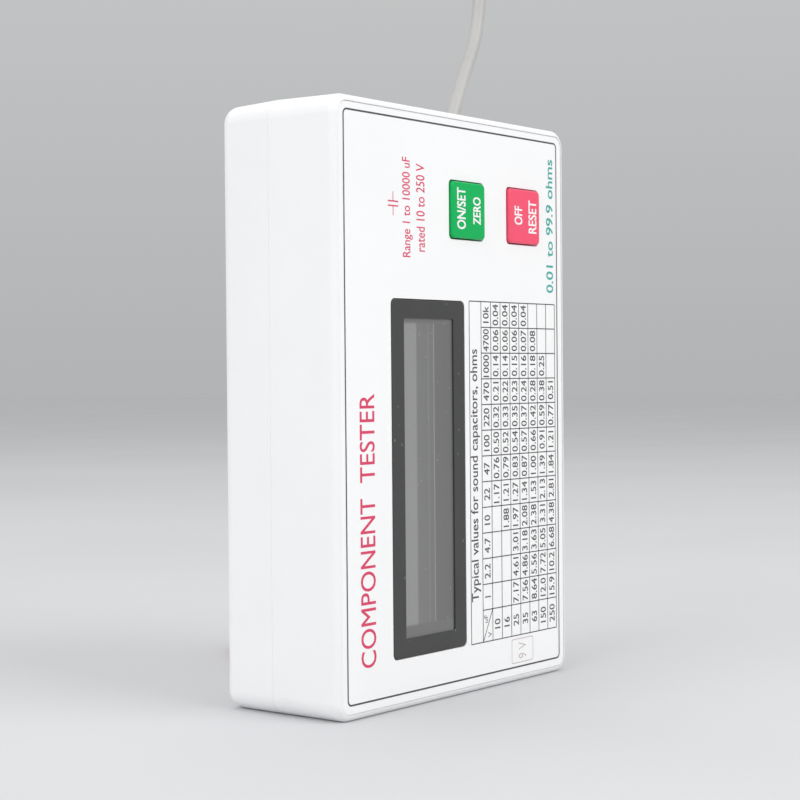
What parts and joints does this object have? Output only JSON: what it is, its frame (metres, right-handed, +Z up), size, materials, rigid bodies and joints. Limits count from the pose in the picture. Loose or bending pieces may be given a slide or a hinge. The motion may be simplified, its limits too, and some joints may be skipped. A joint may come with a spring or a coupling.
{
  "type": "component tester",
  "caption": "Hand-held component tester in a white two-shell case with a character display, two push keys, a printed panel and a clip lead.",
  "frame": {"origin": "middle of the footprint, on the flat end face that the tester stands on", "axes": "+Z up along the tester's length, -Y out of the front panel, +X to the viewer's right when facing the panel"},
  "size_m": [0.1068, 0.0862, 0.1774],
  "materials": {
    "case_white": "fine satin moulded plastic",
    "overlay_white": "satin printed polycarbonate film",
    "key_green": "satin",
    "key_red": "satin",
    "bezel_black": "satin black paint on sheet steel",
    "display_glass": "polished",
    "polarizer_grey": "semi-gloss film",
    "white_plastic": "plain",
    "rubber_pink": "matt silicone",
    "board_green": "solder mask",
    "black_epoxy": "moulded",
    "black_plastic": "moulded",
    "steel": "nickel plated",
    "case_screw_steel": "zinc plated",
    "capacitor_sleeve": "shrink sleeve",
    "film_cap_red": "epoxy",
    "resistor_body": "lacquered",
    "trimmer_blue": "moulded",
    "trimmer_white": "moulded",
    "battery_jacket": "printed metal jacket",
    "foam_grey": "open cell foam",
    "lead_grey": "satin flexible PVC",
    "rubber_grey": "matt",
    "tie_black": "hook and loop tape",
    "lead_red": "satin flexible PVC",
    "lead_black": "satin flexible PVC"
  },
  "bodies": {
    "tester": {"analog_chips": "black_epoxy", "battery": "battery_jacket", "battery_snap": "black_plastic", "battery_terminals": "steel", "battery_wire_black": "lead_black", "battery_wire_red": "lead_red", "black_clip_fixed_jaw": "steel", "black_clip_pin": "steel", "black_clip_sleeve": "lead_black", "black_clip_spring": "steel", "black_lead": "lead_black", "board_screws": "steel", "cable_gland": "rubber_grey", "case_screws": "case_screw_steel", "crystal": "steel", "electrolytic_capacitors": "capacitor_sleeve", "film_capacitors": "film_cap_red", "front_overlay": "overlay_white", "front_shell": "case_white", "green_switch_body": "black_plastic", "inner_lead": "lead_grey", "lcd_bezel": "bezel_black", "lcd_board": "board_green", "lcd_driver_chips": "black_epoxy", "lcd_glass": "display_glass", "lcd_header": "black_plastic", "lcd_polarizer": "polarizer_grey", "lcd_screws": "steel", "lcd_spacer_frame": "white_plastic", "lcd_zebra_strips": "rubber_pink", "lead_clamp": "trimmer_white", "lead_splitter": "lead_grey", "lead_tie": "tie_black", "main_board": "board_green", "microcontroller": "black_epoxy", "protection_diodes": "black_epoxy", "rear_shell": "case_white", "red_clip_fixed_jaw": "steel", "red_clip_pin": "steel", "red_clip_sleeve": "lead_red", "red_clip_spring": "steel", "red_lead": "lead_red", "red_switch_body": "black_plastic", "regulator_and_transistor": "black_epoxy", "resistors": "resistor_body", "test_lead": "lead_grey", "test_lead_coil": "lead_grey", "test_lead_tail": "lead_grey", "trimmer_body": "trimmer_blue"},
    "green_key": {"green_button": "key_green", "green_switch_plunger": "trimmer_white"},
    "red_key": {"red_button": "key_red", "red_switch_plunger": "trimmer_white"},
    "trimmer": {"trimmer_rotor": "trimmer_white"},
    "door": {"battery_door": "case_white", "door_foam": "foam_grey"},
    "red_clip_jaw": {"red_clip_moving_jaw": "steel"},
    "black_clip_jaw": {"black_clip_moving_jaw": "steel"}
  },
  "joints": [
    {"name": "green_key_press", "type": "slide", "parent": "tester", "child": "green_key", "axis": [0, 1, 0], "range_m": [0, 0.0005], "stiffness_N_per_m": 2000, "springref_m": -0.0003},
    {"name": "red_key_press", "type": "slide", "parent": "tester", "child": "red_key", "axis": [0, 1, 0], "range_m": [0, 0.0005], "stiffness_N_per_m": 2000, "springref_m": -0.0003},
    {"name": "trimmer_turn", "type": "hinge", "parent": "tester", "child": "trimmer", "pos_m": [0.0275, -0.0014, 0.084], "axis": [0, 1, 0], "range_deg": [-120, 120]},
    {"name": "battery_door_hinge", "type": "hinge", "parent": "tester", "child": "door", "pos_m": [0.02285, 0.01525, 0.0111], "axis": [-1, 0, 0], "range_deg": [0, 75]},
    {"name": "red_clip_open", "type": "hinge", "parent": "tester", "child": "red_clip_jaw", "pos_m": [0.0032, 0.0335, 0.0025], "axis": [0, 0, -1], "range_deg": [0, 25], "stiffness_Nm_per_rad": 0.05, "springref_deg": -5.73},
    {"name": "black_clip_open", "type": "hinge", "parent": "tester", "child": "black_clip_jaw", "pos_m": [0.0136, 0.0335, 0.0025], "axis": [0, 0, 1], "range_deg": [0, 25], "stiffness_Nm_per_rad": 0.05, "springref_deg": -5.73}
  ]
}
